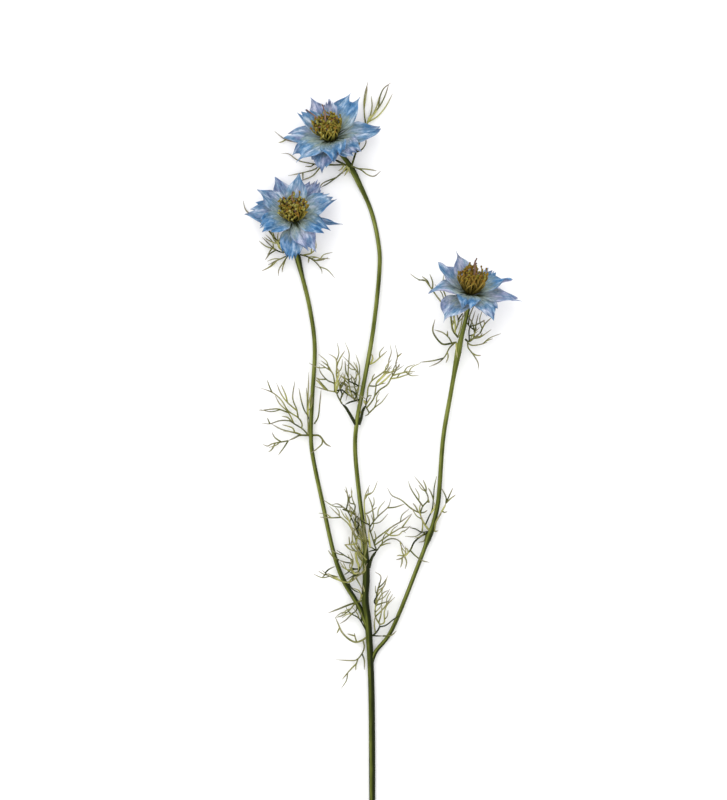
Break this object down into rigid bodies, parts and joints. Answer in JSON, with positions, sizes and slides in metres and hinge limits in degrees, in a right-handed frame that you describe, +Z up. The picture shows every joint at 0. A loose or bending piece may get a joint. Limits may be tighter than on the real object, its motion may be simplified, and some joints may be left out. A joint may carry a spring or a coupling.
{
  "type": "nigella flower stem",
  "caption": "Cut spray of love-in-a-mist lying on its side: blue flowers with golden stamens and green pods at their hearts, on slim branching stems with thread-fine leaves.",
  "frame": {"origin": "on the surface that the spray lies on, under the middle of its bounding box", "axes": "+Y along the spray from the cut end to the flowers, +Z up from the surface, +X to the side of the right-hand branch"},
  "size_m": [0.1833, 0.5271, 0.0445],
  "materials": {
    "petal": "matt thin petal, mid-blue with lilac patches, pale green-white at the claw, fine veins, darker pointed tips",
    "stem": "satin olive green, lighter on the ridges, near black-green at the joints",
    "leaf": "matt pale yellow-green threads with grey-brown tips and dark stalks",
    "bract": "matt olive to purple-brown threads",
    "seed_pod": "satin green pod with reddish-brown styles",
    "stamen": "matt golden olive filaments with orange-brown anthers"
  },
  "bodies": {
    "root": {"base_leaf_left": "leaf", "centre_leaf_left": "leaf", "centre_leaf_middle": "leaf", "centre_leaf_right": "leaf", "flower_1_bracts": "bract", "flower_1_petal_01": "petal", "flower_1_petal_02": "petal", "flower_1_petal_03": "petal", "flower_1_petal_04": "petal", "flower_1_petal_05": "petal", "flower_1_petal_06": "petal", "flower_1_petal_07": "petal", "flower_1_petal_08": "petal", "flower_1_petal_09": "petal", "flower_1_petal_10": "petal", "flower_1_seed_pod": "seed_pod", "flower_1_spray": "bract", "flower_1_stamens": "stamen", "flower_2_bracts": "bract", "flower_2_petal_01": "petal", "flower_2_petal_02": "petal", "flower_2_petal_03": "petal", "flower_2_petal_04": "petal", "flower_2_petal_05": "petal", "flower_2_petal_06": "petal", "flower_2_petal_07": "petal", "flower_2_petal_08": "petal", "flower_2_petal_09": "petal", "flower_2_petal_10": "petal", "flower_2_petal_11": "petal", "flower_2_seed_pod": "seed_pod", "flower_2_stamens": "stamen", "flower_3_bract_left": "bract", "flower_3_bract_low": "bract", "flower_3_bract_right": "bract", "flower_3_petal_01": "petal", "flower_3_petal_02": "petal", "flower_3_petal_03": "petal", "flower_3_petal_04": "petal", "flower_3_petal_05": "petal", "flower_3_petal_06": "petal", "flower_3_petal_07": "petal", "flower_3_petal_08": "petal", "flower_3_petal_09": "petal", "flower_3_petal_10": "petal", "flower_3_seed_pod": "seed_pod", "flower_3_stamens": "stamen", "joint_leaf_left": "leaf", "joint_leaf_right": "leaf", "left_leaf": "leaf", "left_leaf_curl": "leaf", "left_stem": "stem", "lower_leaf_left": "leaf", "lower_leaf_outer": "leaf", "lower_leaf_right": "leaf", "main_stem": "stem", "right_leaf_lower": "leaf", "right_leaf_side": "leaf", "right_leaf_upper": "leaf", "right_stem": "stem"}
  },
  "joints": []
}
